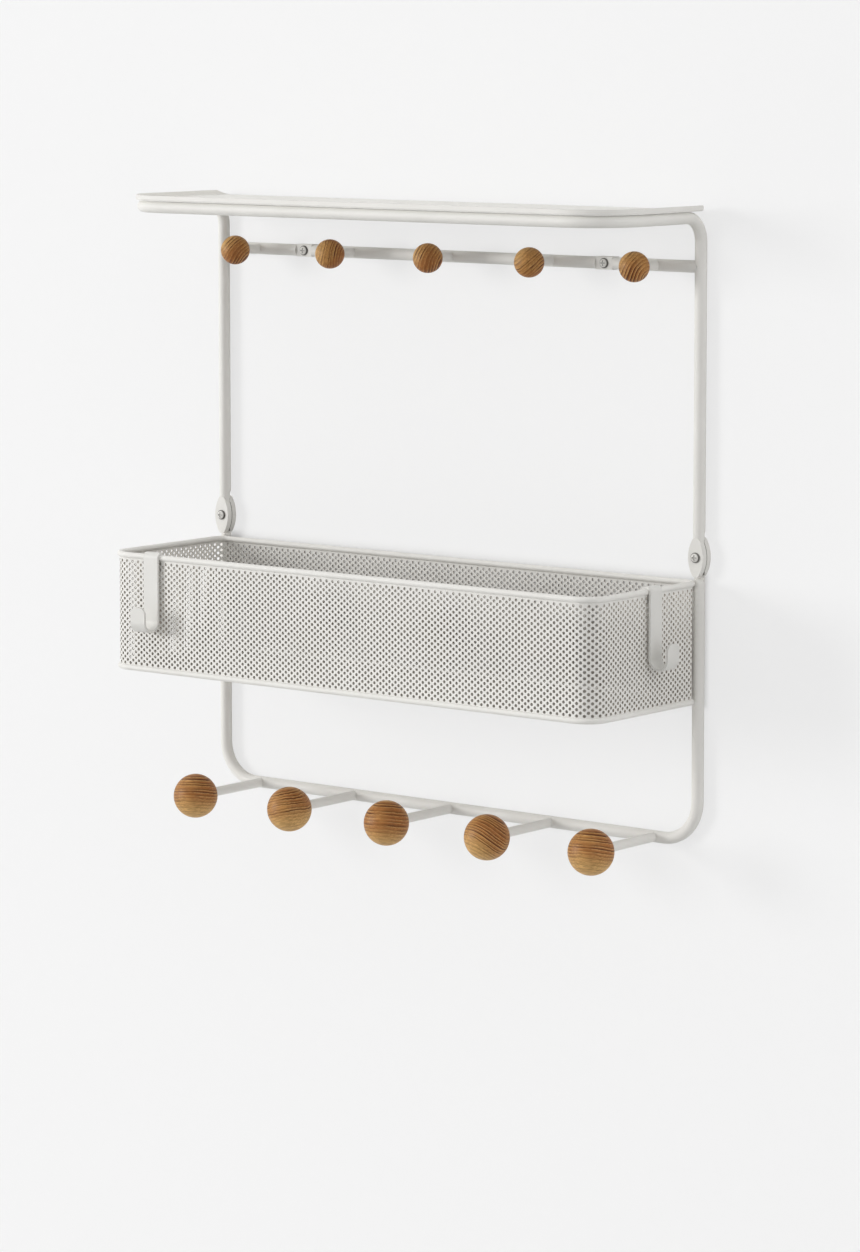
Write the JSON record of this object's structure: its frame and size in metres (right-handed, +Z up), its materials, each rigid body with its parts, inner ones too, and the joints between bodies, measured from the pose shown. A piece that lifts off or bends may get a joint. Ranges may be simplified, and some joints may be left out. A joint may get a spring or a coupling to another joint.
{
  "type": "wall mail organizer",
  "caption": "Wall organizer: bent tube frame with a shelf tray, a perforated basket, two rows of pegs ending in wooden balls, and two hooks over the basket's rim.",
  "frame": {"origin": "midway between the two wall screws in the upper bar, on the plane of the wall", "axes": "+X to the right as seen from the front, -Y out of the wall towards the viewer, +Z up"},
  "size_m": [0.5386, 0.2052, 0.5388],
  "materials": {
    "powder_coat": "matte off-white powder coat",
    "ball_wood": "oiled, straight grain",
    "screw_paint": "satin, same colour as the frame"
  },
  "bodies": {
    "root": {"upper_frame": "powder_coat", "lower_frame": "powder_coat", "shelf_tray": "powder_coat", "upper_bar": "powder_coat", "basket_wall": "powder_coat", "basket_floor": "powder_coat", "basket_top_rim": "powder_coat", "basket_bottom_rim": "powder_coat", "front_hook": "powder_coat", "side_hook": "powder_coat", "left_eye_screw": "screw_paint", "right_eye_screw": "screw_paint", "left_bar_screw": "screw_paint", "right_bar_screw": "screw_paint", "upper_rod_1": "powder_coat", "upper_rod_2": "powder_coat", "upper_rod_3": "powder_coat", "upper_rod_4": "powder_coat", "upper_rod_5": "powder_coat", "lower_rod_1": "powder_coat", "lower_rod_2": "powder_coat", "lower_rod_3": "powder_coat", "lower_rod_4": "powder_coat", "lower_rod_5": "powder_coat", "upper_ball_1": "ball_wood", "upper_ball_2": "ball_wood", "upper_ball_3": "ball_wood", "upper_ball_4": "ball_wood", "upper_ball_5": "ball_wood", "lower_ball_1": "ball_wood", "lower_ball_2": "ball_wood", "lower_ball_3": "ball_wood", "lower_ball_4": "ball_wood", "lower_ball_5": "ball_wood"}
  },
  "joints": []
}
